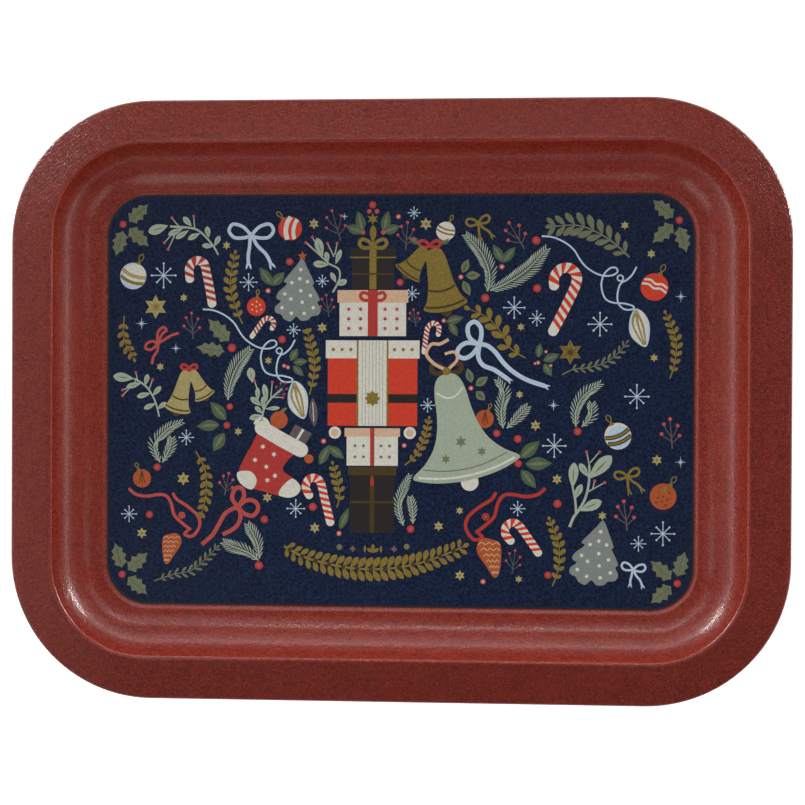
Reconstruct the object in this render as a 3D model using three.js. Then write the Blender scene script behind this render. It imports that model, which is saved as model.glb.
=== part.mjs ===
// Rectangular serving tray, pressed from one sheet of tinplate, in millimetres, +Z up.
// The origin is the middle of the flat underside, which is what the tray stands on, and X
// runs along the length. Inside, a flat floor carries the printed field, and a small step
// and a hollow cove rise from it to a crease. Outside the crease a flange slopes down to an
// edge that is curled round a steel wire.
import * as THREE from "three";

// Driving dimensions. An inset is measured in from the tray's outer edge.
const LENGTH = 400;
const WIDTH = 309;
const CORNER_RADIUS = 73.5; // of the outer edge
const SHEET = 0.35; // thickness of the tinplate
const FLOOR_INSET = 46.5;
const FLOOR_CORNER_RADIUS = 22.5;
const STEP_RUN = 2.2;
const STEP_RISE = 1.4;
const COVE_SLOPE_AT_STEP = THREE.MathUtils.degToRad(5);
const COVE_SLOPE_AT_CREASE = THREE.MathUtils.degToRad(75);
const CREASE_INSET = 22;
const CREASE_RADIUS = 1.6;
const FLANGE_SLOPE = THREE.MathUtils.degToRad(16);
const CURL_WRAP = THREE.MathUtils.degToRad(296);
const WIRE_RADIUS = 1.1;
const WIRE_CLEARANCE = 0.3; // all round, inside the curl
const FIELD_THICKNESS = 0.15; // ink coats and lacquer, as one film
const FIELD_MARGIN = 0.3; // from the film's edge to the edge of the flat floor

// How many flats each curve is cut into.
const CORNER_STEPS = 10;
const STEP_STEPS = 4;
const COVE_STEPS = 8;
const CREASE_STEPS = 4;
const CURL_STEPS = 12;
const WIRE_SIDES = 8;

// The corners of the tray's level outlines get tighter towards the floor at a steady rate.
const RADIUS_RATE = (CORNER_RADIUS - FLOOR_CORNER_RADIUS) / FLOOR_INSET;
const curlRadius = WIRE_RADIUS + WIRE_CLEARANCE + SHEET; // of the curl's outer face

// A point of a profile: x is the corner radius of the outline at this inset.
function outline(inset, z) {
  return new THREE.Vector2(CORNER_RADIUS - RADIUS_RATE * inset, z);
}

// A turned solid whose four quarters are pulled apart into a rounded rectangle, so that
// each point of the profile follows the outline at its own inset.
function turnedRectangle(profile) {
  const columns = 4 * (CORNER_STEPS + 1);
  const geometry = new THREE.LatheGeometry(profile, columns);
  const position = geometry.attributes.position;
  const sides = [[1, 1], [-1, 1], [-1, -1], [1, -1]];
  for (let i = 0; i < position.count; i++) {
    const { x: radius, y: z } = profile[i % profile.length];
    const column = Math.floor(i / profile.length) % columns;
    const corner = Math.floor(column / (CORNER_STEPS + 1));
    const step = column % (CORNER_STEPS + 1);
    const angle = (corner + step / CORNER_STEPS) * (Math.PI / 2);
    const reach = (CORNER_RADIUS - radius) / RADIUS_RATE + radius;
    const onAxis = radius === 0;
    const centreX = onAxis ? 0 : sides[corner][0] * (LENGTH / 2 - reach);
    const centreY = onAxis ? 0 : sides[corner][1] * (WIDTH / 2 - reach);
    const x = centreX + radius * Math.cos(angle);
    const y = centreY + radius * Math.sin(angle);
    position.setXYZ(i, x, y, z);
  }
  geometry.computeVertexNormals();
  return geometry;
}

// The upper face of the sheet, from the floor's edge out to the lip of the curl. Each
// station has an inset, a height and the slope of the way outwards, which turns down round
// the curl.
function upperFace() {
  const stations = [];
  const add = (inset, z, slope) => stations.push({ inset, z, slope });

  const steepest = (STEP_RISE * Math.PI) / 2 / STEP_RUN;
  for (let i = 0; i <= STEP_STEPS; i++) {
    const t = i / STEP_STEPS;
    const z = SHEET + (STEP_RISE * (1 - Math.cos(Math.PI * t))) / 2;
    const slope = Math.atan(steepest * Math.sin(Math.PI * t));
    add(FLOOR_INSET - STEP_RUN * t, z, Math.max(slope, COVE_SLOPE_AT_STEP * t));
  }

  const coveStart = stations.at(-1);
  const coveEndInset = CREASE_INSET + CREASE_RADIUS * Math.sin(COVE_SLOPE_AT_CREASE);
  const coveRadius =
    (coveStart.inset - coveEndInset) /
    (Math.sin(COVE_SLOPE_AT_CREASE) - Math.sin(COVE_SLOPE_AT_STEP));
  const coveCentreInset = coveStart.inset + coveRadius * Math.sin(COVE_SLOPE_AT_STEP);
  const coveCentreZ = coveStart.z + coveRadius * Math.cos(COVE_SLOPE_AT_STEP);
  for (let i = 1; i <= COVE_STEPS; i++) {
    const t = i / COVE_STEPS;
    const slope = THREE.MathUtils.lerp(COVE_SLOPE_AT_STEP, COVE_SLOPE_AT_CREASE, t);
    const inset = coveCentreInset - coveRadius * Math.sin(slope);
    add(inset, coveCentreZ - coveRadius * Math.cos(slope), slope);
  }

  const creaseZ = stations.at(-1).z - CREASE_RADIUS * Math.cos(COVE_SLOPE_AT_CREASE);
  for (let i = 1; i <= CREASE_STEPS; i++) {
    const t = i / CREASE_STEPS;
    const slope = THREE.MathUtils.lerp(COVE_SLOPE_AT_CREASE, -FLANGE_SLOPE, t);
    const inset = CREASE_INSET + CREASE_RADIUS * Math.sin(slope);
    add(inset, creaseZ + CREASE_RADIUS * Math.cos(slope), slope);
  }

  const flangeStart = stations.at(-1);
  const flangeEndInset = curlRadius - curlRadius * Math.sin(FLANGE_SLOPE);
  const drop = (flangeStart.inset - flangeEndInset) * Math.tan(FLANGE_SLOPE);
  const curlZ = flangeStart.z - drop - curlRadius * Math.cos(FLANGE_SLOPE);
  for (let i = 0; i <= CURL_STEPS; i++) {
    const slope = -FLANGE_SLOPE - (CURL_WRAP * i) / CURL_STEPS;
    const inset = curlRadius + curlRadius * Math.sin(slope);
    add(inset, curlZ + curlRadius * Math.cos(slope), slope);
  }
  return { stations, curlZ };
}

const { stations, curlZ } = upperFace();

// The pan: out along the under face, one sheet's thickness behind each station, round the
// lip of the curl, and back along the upper face.
function panGeometry() {
  const upper = stations.map(({ inset, z }) => outline(inset, z));
  const under = stations.map(({ inset, z, slope }) =>
    outline(inset - SHEET * Math.sin(slope), z - SHEET * Math.cos(slope)),
  );
  const bottomCentre = new THREE.Vector2(0, 0);
  const topCentre = new THREE.Vector2(0, SHEET);
  return turnedRectangle([bottomCentre, ...under, ...upper.reverse(), topCentre]);
}

// The wire: a round section at the curl's centre, with its ends butted into a closed ring.
function wireGeometry() {
  const section = [];
  for (let i = 0; i <= WIRE_SIDES; i++) {
    const angle = (i / WIRE_SIDES) * 2 * Math.PI;
    const inset = curlRadius - WIRE_RADIUS * Math.cos(angle);
    section.push(outline(inset, curlZ + WIRE_RADIUS * Math.sin(angle)));
  }
  return turnedRectangle(section);
}

// The printed field: a film of ink and lacquer on the flat floor.
function fieldGeometry() {
  const inset = FLOOR_INSET + FIELD_MARGIN;
  const top = SHEET + FIELD_THICKNESS;
  return turnedRectangle([
    new THREE.Vector2(0, SHEET),
    outline(inset, SHEET),
    outline(inset, top),
    new THREE.Vector2(0, top),
  ]);
}

function subPart(name, geometry, { color, roughness, metalness }) {
  const material = new THREE.MeshStandardMaterial({ color, roughness, metalness });
  const mesh = new THREE.Mesh(geometry, material);
  mesh.name = name;
  return mesh;
}

const redEnamel = { color: 0x7a2a1e, roughness: 0.38, metalness: 0 };
const steel = { color: 0xb4b2ad, roughness: 0.4, metalness: 1 };
const navyPrint = { color: 0x17243c, roughness: 0.45, metalness: 0 };

const tray = new THREE.Group();
tray.add(subPart("tray_pan", panGeometry(), redEnamel));
tray.add(subPart("edge_wire", wireGeometry(), steel));
tray.add(subPart("printed_field", fieldGeometry(), navyPrint));

export default tray;
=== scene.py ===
import bpy
import math
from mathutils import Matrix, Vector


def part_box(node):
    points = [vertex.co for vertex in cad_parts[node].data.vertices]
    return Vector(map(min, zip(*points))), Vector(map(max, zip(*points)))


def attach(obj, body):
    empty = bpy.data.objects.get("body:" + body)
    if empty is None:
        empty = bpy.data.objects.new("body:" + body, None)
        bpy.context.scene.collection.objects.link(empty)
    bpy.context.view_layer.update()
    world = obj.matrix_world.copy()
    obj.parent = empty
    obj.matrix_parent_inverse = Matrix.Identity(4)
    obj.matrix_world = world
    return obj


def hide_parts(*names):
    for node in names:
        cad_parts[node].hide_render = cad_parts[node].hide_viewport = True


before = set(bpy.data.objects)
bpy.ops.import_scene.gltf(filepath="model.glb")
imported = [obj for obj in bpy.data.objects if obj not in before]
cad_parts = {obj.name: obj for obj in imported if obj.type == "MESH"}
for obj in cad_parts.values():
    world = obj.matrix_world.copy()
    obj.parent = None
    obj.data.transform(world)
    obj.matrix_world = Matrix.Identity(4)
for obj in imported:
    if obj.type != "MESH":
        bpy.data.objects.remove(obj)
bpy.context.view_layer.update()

# A printed tinplate serving tray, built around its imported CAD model. Sizes are in millimetres,
# and meshes are written in metres. Only the lamps and the camera are placed in metres.
MM = 0.001

# ---------------------------------------------------------------- the tray's sizes
tray_low, tray_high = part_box("tray_pan")
field_low, field_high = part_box("printed_field")
LENGTH = (tray_high.x - tray_low.x) / MM
WIDTH = (tray_high.y - tray_low.y) / MM
HEIGHT = tray_high.z / MM
FILM_TOP = field_high.z / MM
SHEET = field_low.z / MM  # the film lies on the sheet
FIELD_INSET = (tray_high.x - field_high.x) / MM
FIELD_MARGIN = 0.3  # from the film's edge to the edge of the flat floor
FLOOR_INSET = FIELD_INSET - FIELD_MARGIN
INK_ROOM = 0.09  # the height that the motifs' inks may take
GROUND_TOP = FILM_TOP - INK_ROOM  # of the navy coat, under the inks

CORNER_RADIUS = 73.5
FLOOR_CORNER_RADIUS = 22.5
RADIUS_RATE = (CORNER_RADIUS - FLOOR_CORNER_RADIUS) / FLOOR_INSET
STEP_RUN = 2.2
STEP_RISE = 1.4
COVE_SLOPE_AT_STEP = math.radians(5)
COVE_SLOPE_AT_CREASE = math.radians(75)
CREASE_INSET = 22
CREASE_RADIUS = 1.6
FLANGE_SLOPE = math.radians(16)
CURL_RADIUS = 1.75
CURL_WRAP = math.radians(296)


# ---------------------------------------------------------------- mesh helpers
def mesh_object(name, points, faces, materials, face_slots=None, smooth=False):
    """A mesh piece from points in millimetres."""
    mesh = bpy.data.meshes.new(name)
    mesh.from_pydata([(x * MM, y * MM, z * MM) for x, y, z in points], [], faces)
    for material in materials:
        mesh.materials.append(material)
    if face_slots:
        mesh.polygons.foreach_set("material_index", face_slots)
    if smooth:
        mesh.shade_smooth()
    mesh.validate()
    piece = bpy.data.objects.new(name, mesh)
    bpy.context.scene.collection.objects.link(piece)
    return piece


def outline(inset, corner_steps=26, long_steps=16, short_steps=10):
    """Points (x, y) round the tray at one inset from its edge, counter-clockwise."""
    radius = CORNER_RADIUS - RADIUS_RATE * inset
    centre_x = LENGTH / 2 - inset - radius
    centre_y = WIDTH / 2 - inset - radius
    points = []
    for corner, (side_x, side_y) in enumerate([(1, 1), (-1, 1), (-1, -1), (1, -1)]):
        for i in range(corner_steps + 1):
            angle = (corner + i / corner_steps) * math.pi / 2
            x = side_x * centre_x + radius * math.cos(angle)
            points.append((x, side_y * centre_y + radius * math.sin(angle)))
        next_x, next_y = [(-1, 1), (-1, -1), (1, -1), (1, 1)][corner]
        angle = (corner + 1) * math.pi / 2
        end_x = next_x * centre_x + radius * math.cos(angle)
        end_y = next_y * centre_y + radius * math.sin(angle)
        start_x, start_y = points[-1]
        steps = long_steps if corner % 2 == 0 else short_steps
        for i in range(1, steps):
            t = i / steps
            points.append((start_x + (end_x - start_x) * t, start_y + (end_y - start_y) * t))
    return points


# ---------------------------------------------------------------- the pressed sheet
def sheet_stations():
    """(inset, height, slope) along the sheet's upper face, from floor to curled lip."""
    stations = []
    step_steps, cove_steps, crease_steps, flange_steps, curl_steps = 12, 26, 10, 8, 26
    steepest = STEP_RISE * math.pi / 2 / STEP_RUN
    for i in range(step_steps + 1):
        t = i / step_steps
        z = SHEET + STEP_RISE * (1 - math.cos(math.pi * t)) / 2
        slope = max(math.atan(steepest * math.sin(math.pi * t)), COVE_SLOPE_AT_STEP * t)
        stations.append((FLOOR_INSET - STEP_RUN * t, z, slope))
    inset, z, _ = stations[-1]
    end_inset = CREASE_INSET + CREASE_RADIUS * math.sin(COVE_SLOPE_AT_CREASE)
    sine_span = math.sin(COVE_SLOPE_AT_CREASE) - math.sin(COVE_SLOPE_AT_STEP)
    radius = (inset - end_inset) / sine_span
    centre_inset = inset + radius * math.sin(COVE_SLOPE_AT_STEP)
    centre_z = z + radius * math.cos(COVE_SLOPE_AT_STEP)
    slope_span = COVE_SLOPE_AT_CREASE - COVE_SLOPE_AT_STEP
    for i in range(1, cove_steps + 1):
        slope = COVE_SLOPE_AT_STEP + slope_span * i / cove_steps
        inset = centre_inset - radius * math.sin(slope)
        stations.append((inset, centre_z - radius * math.cos(slope), slope))
    crease_z = stations[-1][1] - CREASE_RADIUS * math.cos(COVE_SLOPE_AT_CREASE)
    for i in range(1, crease_steps + 1):
        t = i / crease_steps
        slope = COVE_SLOPE_AT_CREASE - (COVE_SLOPE_AT_CREASE + FLANGE_SLOPE) * t
        inset = CREASE_INSET + CREASE_RADIUS * math.sin(slope)
        stations.append((inset, crease_z + CREASE_RADIUS * math.cos(slope), slope))
    top_inset, top_z, _ = stations[-1]
    edge_inset = CURL_RADIUS - CURL_RADIUS * math.sin(FLANGE_SLOPE)
    for i in range(1, flange_steps):
        inset = top_inset + (edge_inset - top_inset) * i / flange_steps
        z = top_z - (top_inset - inset) * math.tan(FLANGE_SLOPE)
        stations.append((inset, z, -FLANGE_SLOPE))
    edge_z = top_z - (top_inset - edge_inset) * math.tan(FLANGE_SLOPE)
    curl_z = edge_z - CURL_RADIUS * math.cos(FLANGE_SLOPE)
    for i in range(curl_steps + 1):
        slope = -FLANGE_SLOPE - CURL_WRAP * i / curl_steps
        inset = CURL_RADIUS + CURL_RADIUS * math.sin(slope)
        stations.append((inset, curl_z + CURL_RADIUS * math.cos(slope), slope))
    return stations


def pressed_sheet(enamel, flange_enamel_painted_shade, tinplate):
    """The pan as one closed sheet: enamel on its upper face, bare tinplate behind."""
    stations = sheet_stations()
    crease_ring = max(range(len(stations)), key=lambda i: stations[i][1])
    rings = [(inset, min(z, HEIGHT)) for inset, z, _ in stations]
    behind = [
        (inset - SHEET * math.sin(slope), z - SHEET * math.cos(slope))
        for inset, z, slope in stations
    ]
    enamelled_rings = len(rings)
    rings += behind[::-1]
    points = []
    for inset, z in rings:
        points += [(x, y, z) for x, y in outline(inset)]
    count = len(points) // len(rings)
    last = (len(rings) - 1) * count
    materials = [enamel, flange_enamel_painted_shade, tinplate]
    inside, flange, underside = range(len(materials))
    # The flange outside the crease takes the darker enamel copy, which is painted shade.
    ring_slots = [inside] * crease_ring + [flange] * (enamelled_rings - crease_ring)
    ring_slots += [underside] * (len(rings) - 1 - enamelled_rings)
    faces = [tuple(range(count))]
    slots = [inside]
    for r, slot in enumerate(ring_slots):
        near = r * count
        far = near + count
        for i in range(count):
            j = (i + 1) % count
            faces.append((near + i, far + i, far + j, near + j))
            slots.append(slot)
    faces.append(tuple(last + i for i in reversed(range(count))))
    slots.append(underside)
    return mesh_object("pressed_tray", points, faces, materials, slots, smooth=True)


# ---------------------------------------------------------------- materials
class Tree:
    """Short calls for building a node tree."""

    def __init__(self, tree):
        self.tree = tree

    def add(self, kind, **settings):
        node = self.tree.nodes.new(kind)
        for key, value in settings.items():
            setattr(node, key, value)
        return node

    def feed(self, socket, value):
        if isinstance(value, bpy.types.NodeSocket):
            self.tree.links.new(value, socket)
        elif isinstance(value, tuple) and len(value) == 3 and socket.type == "RGBA":
            socket.default_value = (*value, 1)
        else:
            socket.default_value = value

    def remap(self, value, low, high, to_low=0.0, to_high=1.0):
        node = self.add("ShaderNodeMapRange", interpolation_type="SMOOTHSTEP")
        self.feed(node.inputs["Value"], value)
        self.feed(node.inputs["From Min"], low)
        self.feed(node.inputs["From Max"], high)
        self.feed(node.inputs["To Min"], to_low)
        self.feed(node.inputs["To Max"], to_high)
        return node.outputs["Result"]

    def maths(self, operation, a, b):
        node = self.add("ShaderNodeMath", operation=operation)
        self.feed(node.inputs[0], a)
        self.feed(node.inputs[1], b)
        return node.outputs[0]


class Nodes(Tree):
    """Short calls for building a material's nodes."""

    def __init__(self, name, roughness=0.4, metallic=0.0):
        self.material = bpy.data.materials.new(name)
        self.material.use_nodes = True
        super().__init__(self.material.node_tree)
        self.shader = self.tree.nodes["Principled BSDF"]
        self.set("Roughness", roughness)
        self.set("Metallic", metallic)
        self.place = self.add("ShaderNodeTexCoord").outputs["Object"]

    def set(self, name, value):
        self.feed(self.shader.inputs[name], value)

    def texture(self, kind, size, where=None, **settings):
        """A texture node whose features measure about size millimetres."""
        node = self.add(kind, **settings)
        self.feed(node.inputs["Vector"], where or self.place)
        self.feed(node.inputs["Scale"], 1 / (size * MM))
        return node

    def noise(self, size, detail=3, roughness=0.55, where=None):
        """Noise from 0 to 1."""
        node = self.texture("ShaderNodeTexNoise", size, where)
        self.feed(node.inputs["Detail"], detail)
        self.feed(node.inputs["Roughness"], roughness)
        return node.outputs["Fac"]

    def cracks(self, size, where=None):
        """Distance from the nearest border between cells."""
        node = self.texture("ShaderNodeTexVoronoi", size, where, feature="DISTANCE_TO_EDGE")
        return node.outputs["Distance"]

    def warped(self, size, amount):
        """The place, pushed about by noise, so that cells lose their straight sides."""
        node = self.texture("ShaderNodeTexNoise", size)
        self.feed(node.inputs["Detail"], 2)
        shift = self.add("ShaderNodeVectorMath", operation="MULTIPLY_ADD")
        self.feed(shift.inputs[0], node.outputs["Color"])
        self.feed(shift.inputs[1], (amount * MM,) * 3)
        self.feed(shift.inputs[2], self.place)
        return shift.outputs[0]

    def mix(self, factor, a, b):
        node = self.add("ShaderNodeMix", data_type="RGBA")
        self.feed(node.inputs["Factor"], factor)
        self.feed(node.inputs[6], a)
        self.feed(node.inputs[7], b)
        return node.outputs[2]

    def bump(self, height, depth, socket="Normal"):
        """Relief of the given depth in millimetres for a height from 0 to 1."""
        node = self.add("ShaderNodeBump")
        self.feed(node.inputs["Height"], height)
        self.feed(node.inputs["Distance"], depth * MM)
        self.set(socket, node.outputs["Normal"])


def colour(red, green, blue):
    """An sRGB colour, 0 to 255, as the linear numbers that shaders take."""
    def linear(value):
        value /= 255
        return value / 12.92 if value <= 0.04045 else ((value + 0.055) / 1.055) ** 2.4
    return linear(red), linear(green), linear(blue)


def red_enamel(name, painted_shade_scale):
    """Red-brown stoving enamel: a leathery grain under a glossier coat that makes it sparkle."""
    # The scale multiplies the enamel's colour. The flange's lower scale is painted shade, not a different
    # enamel.
    def tone(*rgb):
        return tuple(value * painted_shade_scale for value in colour(*rgb))

    nodes = Nodes(name)
    where = nodes.warped(3.0, 1.6)
    pebbles = nodes.remap(nodes.cracks(1.9, where), 0.0, 0.16)
    grit = nodes.noise(0.8, 2, 0.6)
    blotches = nodes.noise(2.4, 3)
    mottle = nodes.noise(14, 4)
    base = nodes.mix(nodes.remap(mottle, 0.3, 0.7), tone(138, 39, 25), tone(150, 46, 30))
    base = nodes.mix(nodes.remap(grit, 0.42, 0.64, 0.0, 0.75), base, tone(174, 63, 41))
    base = nodes.mix(nodes.remap(blotches, 0.4, 0.7, 0.0, 0.55), base, tone(110, 27, 15))
    # painted shade: the enamel is darker in the hollows between the grain's pebbles, where the relief is
    # lowest
    base = nodes.mix(nodes.remap(pebbles, 0.0, 0.9, 0.5, 0.0), base, tone(94, 22, 13))
    nodes.set("Base Color", base)
    nodes.set("Roughness", nodes.remap(grit, 0.3, 0.7, 0.2, 0.32))
    nodes.set("Specular IOR Level", 0.32)
    height = nodes.maths("ADD", pebbles, nodes.maths("MULTIPLY", grit, 1.3))
    nodes.bump(height, 0.05)
    nodes.set("Coat Weight", 0.3)
    nodes.set("Coat Roughness", 0.1)
    nodes.bump(grit, 0.06, "Coat Normal")
    return nodes.material


def clear_lacquered_tinplate():
    """Bright tinplate under clear lacquer, with faint rolling lines along the sheet."""
    nodes = Nodes("clear_lacquered_tinplate", metallic=1.0)
    stretch = nodes.add("ShaderNodeMapping")
    nodes.feed(stretch.inputs["Vector"], nodes.place)
    stretch.inputs["Scale"].default_value = (0.02, 1, 1)
    lines = nodes.noise(0.5, 4, 0.6, stretch.outputs[0])
    spangle = nodes.noise(9, 3)
    tin = nodes.mix(nodes.remap(spangle, 0.3, 0.7), colour(186, 184, 176), colour(204, 202, 194))
    nodes.set("Base Color", tin)
    nodes.set("Roughness", nodes.remap(lines, 0.3, 0.7, 0.24, 0.36))
    nodes.bump(lines, 0.004)
    return nodes.material


def drawn_wire_steel():
    """Drawn steel wire, dull bright, with fine lines and a little tarnish."""
    nodes = Nodes("drawn_wire_steel", metallic=1.0)
    tarnish = nodes.noise(5, 4)
    scratches = nodes.noise(0.25, 3, 0.7)
    steel = nodes.mix(nodes.remap(tarnish, 0.4, 0.7), colour(178, 176, 170), colour(140, 130, 116))
    nodes.set("Base Color", steel)
    nodes.set("Roughness", nodes.remap(scratches, 0.3, 0.7, 0.3, 0.5))
    nodes.bump(scratches, 0.01)
    return nodes.material


def navy_ground():
    """Navy ink with a printed net of fine paler cracks, under satin lacquer."""
    nodes = Nodes("navy_ground")
    where = nodes.warped(5.0, 2.0)
    net = nodes.remap(nodes.cracks(2.9, where), 0.0, 0.13, 1.0, 0.0)
    fine_net = nodes.remap(nodes.cracks(1.5, where), 0.0, 0.2, 1.0, 0.0)
    mottle = nodes.noise(10, 4)
    base = nodes.mix(nodes.remap(mottle, 0.3, 0.7), colour(4, 18, 45), colour(8, 25, 55))
    blotches = nodes.remap(nodes.noise(1.3, 3), 0.44, 0.66, 0.0, 0.7)
    base = nodes.mix(blotches, base, colour(32, 50, 84))
    base = nodes.mix(nodes.maths("MULTIPLY", net, 0.13), base, colour(64, 84, 120))
    base = nodes.mix(nodes.maths("MULTIPLY", fine_net, 0.12), base, colour(62, 74, 112))
    nodes.set("Base Color", base)
    grain = nodes.noise(0.7, 3, 0.7)
    nodes.set("Roughness", nodes.remap(grain, 0.3, 0.7, 0.36, 0.48))
    nodes.set("Specular IOR Level", 0.12)
    nodes.bump(grain, 0.012)
    return nodes.material


def ink_material(name, base, shade):
    """A mottled ink, crossed by the same fine net as the ground, under satin lacquer."""
    nodes = Nodes("ink_" + name, roughness=0.44)
    where = nodes.warped(5.0, 2.0)
    net = nodes.remap(nodes.cracks(2.9, where), 0.0, 0.09, 1.0, 0.0)
    grain = nodes.remap(nodes.noise(1.3, 3, 0.6), 0.36, 0.7)
    tone = nodes.mix(nodes.maths("MULTIPLY", grain, 0.7), colour(*base), colour(*shade))
    tone = nodes.mix(nodes.maths("MULTIPLY", net, 0.45), tone, colour(*shade))
    nodes.set("Base Color", tone)
    nodes.set("Specular IOR Level", 0.3)
    return nodes.material


# ---------------------------------------------------------------- paths on the panel
def ahead(place, heading, distance):
    return place[0] + distance * math.cos(heading), place[1] + distance * math.sin(heading)


def heading_to(start, end):
    return math.atan2(end[1] - start[1], end[0] - start[0])


def curve(points, steps=6, closed=False):
    """A smooth path through the points."""
    last = len(points) - 1
    path = []
    for i in range(len(points) if closed else last):
        if closed:
            a, b, c, d = (points[(i + k) % len(points)] for k in (-1, 0, 1, 2))
        else:
            a, b, c, d = (points[min(max(i + k, 0), last)] for k in (-1, 0, 1, 2))
        for step in range(steps):
            t = step / steps
            path.append(tuple(
                b[k] + (c[k] - a[k]) * t / 2
                + (2 * a[k] - 5 * b[k] + 4 * c[k] - d[k]) * t * t / 2
                + (3 * b[k] - a[k] - 3 * c[k] + d[k]) * t ** 3 / 2
                for k in (0, 1)
            ))
    return path if closed else path + [points[-1]]


def marks(path, spacing, start=0.0):
    """Evenly spaced (place, heading) along a path."""
    found = []
    due, gone = start, 0.0
    for a, b in zip(path, path[1:]):
        step = math.dist(a, b)
        while due <= gone + step:
            t = (due - gone) / step
            place = (a[0] + (b[0] - a[0]) * t, a[1] + (b[1] - a[1]) * t)
            found.append((place, heading_to(a, b)))
            due += spacing
        gone += step
    return found


def circle(centre, radius, steps=16):
    return [ahead(centre, 2 * math.pi * i / steps, radius) for i in range(steps)]


def moved(points, at=(0, 0), turn=0.0, size=1.0, mirror=False):
    """A motif's own points carried to their place: mirrored, turned (degrees), sized, put."""
    cosine, sine = math.cos(math.radians(turn)), math.sin(math.radians(turn))
    side = -1 if mirror else 1
    return [
        (at[0] + size * (side * u * cosine - v * sine), at[1] + size * (side * u * sine + v * cosine))
        for u, v in points
    ]


# ---------------------------------------------------------------- inks
INK_RISE = 0.004
INK_FOOT = GROUND_TOP - INK_RISE  # each island of ink starts just inside the ground
LAYER_RISE = 0.02
ISLAND_RISE = 0.0012
BAND_RISE = 0.005
HEIGHTS_IN_LAYER = 11


def round_end(end, heading, half):
    """(place, half width) of stations round the end of a stroke, outermost first."""
    turns = [math.radians(angle) for angle in (15, 40, 65)]
    return [(ahead(end, heading, half * math.cos(turn)), half * math.sin(turn)) for turn in turns]


class Ink:
    """One colour of the print: separate flat islands of film, kept as one mesh."""

    every = []
    islands = 0

    def __init__(self, name, base, shade):
        self.name = name
        self.base = base
        self.shade = shade
        self.points = []
        self.faces = []
        Ink.every.append(self)

    def top(self, layer):
        """A height that no neighbouring island shares, so that no two faces coincide."""
        Ink.islands += 1
        island_rise = ISLAND_RISE * (Ink.islands % HEIGHTS_IN_LAYER)
        return GROUND_TOP + INK_RISE + LAYER_RISE * layer + island_rise

    def flat(self, ring, layer=0):
        """An island inside a closed ring of points."""
        area = sum(a[0] * b[1] - b[0] * a[1] for a, b in zip(ring, ring[1:] + ring[:1]))
        if area < 0:
            ring = ring[::-1]
        top = self.top(layer)
        first = len(self.points)
        count = len(ring)
        self.points += [(x, y, INK_FOOT) for x, y in ring] + [(x, y, top) for x, y in ring]
        self.faces.append(tuple(first + i for i in reversed(range(count))))
        self.faces.append(tuple(first + count + i for i in range(count)))
        for i in range(count):
            j = (i + 1) % count
            self.faces.append((first + i, first + j, first + count + j, first + count + i))

    def band(self, left, right, layer=0):
        """An island between two edges. It rises a little on its way, so that it can cross itself."""
        top = self.top(layer)
        first = len(self.points)
        count = len(left)
        for i, pair in enumerate(zip(left, right)):
            for x, y in pair:
                self.points += [(x, y, INK_FOOT), (x, y, top + BAND_RISE * i / count)]
        for i in range(count - 1):
            a = first + 4 * i
            b = a + 4
            self.faces += [
                (a + 1, a + 3, b + 3, b + 1),
                (a, b, b + 2, a + 2),
                (a, a + 1, b + 1, b),
                (a + 2, b + 2, b + 3, a + 3),
            ]
        last = first + 4 * (count - 1)
        self.faces.append((first, first + 2, first + 3, first + 1))
        self.faces.append((last, last + 1, last + 3, last + 2))

    def stroke(self, points, width, layer=0, end_width=None, rounded=False, steps=6):
        """A band of the given width along a smooth path."""
        path = curve(points, steps) if len(points) > 2 else list(points)
        end_width = width if end_width is None else end_width
        last = len(path) - 1
        halves = [(width + (end_width - width) * i / last) / 2 for i in range(last + 1)]
        if rounded:
            head = round_end(path[0], heading_to(path[1], path[0]), width / 2)
            tail = round_end(path[-1], heading_to(path[-2], path[-1]), end_width / 2)[::-1]
            path = [place for place, _ in head] + path + [place for place, _ in tail]
            halves = [half for _, half in head] + halves + [half for _, half in tail]
        left, right = [], []
        for i, place in enumerate(path):
            heading = heading_to(path[max(i - 1, 0)], path[min(i + 1, len(path) - 1)])
            left.append(ahead(place, heading + math.pi / 2, halves[i]))
            right.append(ahead(place, heading - math.pi / 2, halves[i]))
        self.band(left, right, layer)

    def disc(self, centre, radius, layer=0, steps=16):
        self.flat(circle(centre, radius, steps), layer)

    def hoop(self, centre, radius, width, layer=0, steps=18):
        outer = circle(centre, radius + width / 2, steps)
        inner = circle(centre, radius - width / 2, steps)
        self.band(inner + inner[:1], outer + outer[:1], layer)

    def petal(self, base, tip, width, layer=0, fullest=0.45, blunt=1.0):
        """A leaf from base to tip. Less blunt than 1 rounds its ends."""
        heading = heading_to(base, tip)
        length = math.dist(base, tip)
        skew = math.log(0.5) / math.log(fullest)
        steps = 8
        ring = []
        for side in (1, -1):
            for i in range(steps):
                t = (1 - side * math.cos(math.pi * i / steps)) / 2
                reach = side * width / 2 * abs(math.sin(math.pi * t ** skew)) ** blunt
                spine = ahead(base, heading, length * t)
                ring.append(ahead(spine, heading + math.pi / 2, reach))
        self.flat(ring, layer)

    def star(self, centre, radius, points=6, inner=0.52, turn=90, layer=0):
        ring = []
        for i in range(2 * points):
            reach = radius * (inner if i % 2 else 1)
            ring.append(ahead(centre, math.radians(turn) + math.pi * i / points, reach))
        self.flat(ring, layer)

    def piece(self):
        material = ink_material(self.name, self.base, self.shade)
        made = mesh_object("ink_" + self.name, self.points, self.faces, [material])
        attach(made, "root")


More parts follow.
